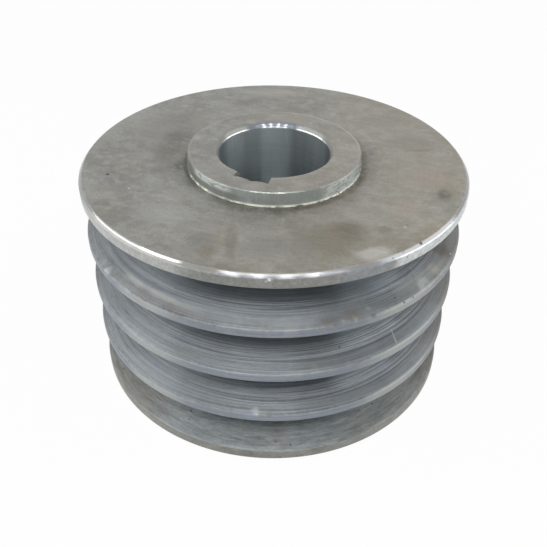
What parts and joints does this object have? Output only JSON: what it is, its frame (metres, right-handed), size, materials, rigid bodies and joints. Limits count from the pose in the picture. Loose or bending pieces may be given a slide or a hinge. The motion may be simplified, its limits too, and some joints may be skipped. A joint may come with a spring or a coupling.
{
  "type": "v-belt pulley",
  "caption": "Solid V-belt pulley turned from one iron casting, with V-shaped belt grooves round the rim, a low boss on one face and a keyed bore for a shaft.",
  "frame": {"origin": "middle of the bore on the flat lower face that the pulley stands on", "axes": "+Z along the bore towards the boss, -Y towards the keyway"},
  "size_m": [0.138, 0.138, 0.0872],
  "materials": {
    "turned_iron": "turned all over, with fine concentric tool lines, worn bright edges and oily stains"
  },
  "bodies": {
    "root": {"pulley": "turned_iron"}
  },
  "joints": []
}
